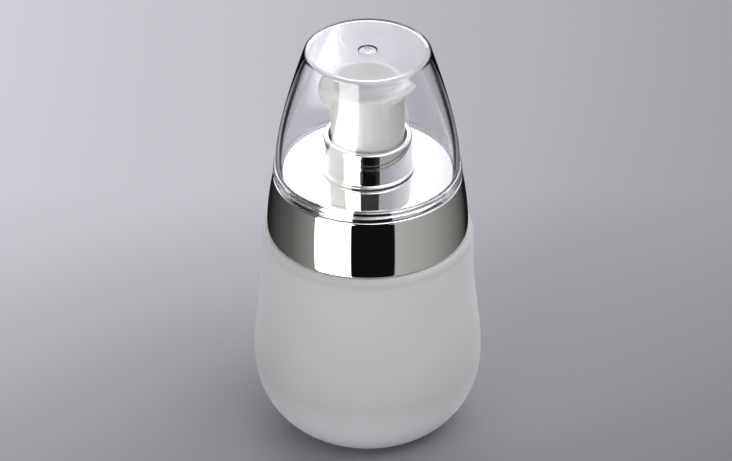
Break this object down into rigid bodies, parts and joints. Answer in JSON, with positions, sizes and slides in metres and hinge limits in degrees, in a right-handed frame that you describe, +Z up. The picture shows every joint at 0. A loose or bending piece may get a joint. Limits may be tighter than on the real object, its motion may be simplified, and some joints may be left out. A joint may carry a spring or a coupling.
{
  "type": "foundation bottle",
  "caption": "Frosted egg-shaped glass bottle with a mirror shoulder sleeve, a spring-return treatment pump and a clear lift-off overcap.",
  "frame": {"origin": "centre of the round base, on the surface the bottle stands on", "axes": "+Z up along the common axis of glass, pump and overcap; -Y towards the viewer; the nozzle points to -X and a little to +Y"},
  "size_m": [0.0546, 0.0546, 0.1021],
  "materials": {
    "frosted_glass": "acid-frosted outside, smooth inside",
    "mirror_metal": "mirror",
    "white_plastic": "moulded, satin",
    "milky_plastic": "translucent, satin gloss",
    "clear_plastic": "clear, polished",
    "seal": "matte",
    "steel": "drawn or polished stainless"
  },
  "bodies": {
    "bottle": {"glass_bottle": "frosted_glass", "shoulder_sleeve": "mirror_metal", "sleeve_liner": "white_plastic"},
    "pump": {"pump_housing": "white_plastic", "housing_cap": "white_plastic", "neck_gasket": "seal", "dip_tube": "milky_plastic", "return_spring": "steel"},
    "closure": {"threaded_closure": "white_plastic", "collar_shell": "mirror_metal"},
    "plunger": {"pump_stem": "white_plastic", "piston_seat": "white_plastic"},
    "head": {"actuator_head": "milky_plastic"},
    "piston": {"pump_piston": "white_plastic"},
    "ball": {"check_ball": "steel"},
    "cap": {"overcap": "clear_plastic"}
  },
  "joints": [
    {"name": "overcap_lift", "type": "slide", "parent": "bottle", "child": "cap", "axis": [0, 0, 1], "range_m": [0, 0.045]},
    {"name": "pump_lift", "type": "slide", "parent": "bottle", "child": "pump", "axis": [0, 0, 1], "range_m": [0, 0.00317]},
    {"name": "closure_turn", "type": "hinge", "parent": "pump", "child": "closure", "pos_m": [0, 0, 0.0665], "axis": [0, 0, 1], "range_deg": [0, 360]},
    {"name": "pump_press", "type": "slide", "parent": "pump", "child": "plunger", "axis": [0, 0, -1], "range_m": [0, 0.004], "stiffness_N_per_m": 1200, "springref_m": -0.006, "deforming": ["return_spring"]},
    {"name": "head_turn", "type": "hinge", "parent": "plunger", "child": "head", "pos_m": [0, 0, 0.086], "axis": [0, 0, 1], "continuous": true},
    {"name": "piston_slip", "type": "slide", "parent": "plunger", "child": "piston", "axis": [0, 0, 1], "range_m": [0, 0.0006]},
    {"name": "ball_lift", "type": "slide", "parent": "pump", "child": "ball", "axis": [0, 0, 1], "range_m": [0, 0.0008]}
  ],
  "couplings": [
    {"joint": "closure_turn", "follows": "pump_lift", "rad_per_m": 1978.9}
  ]
}
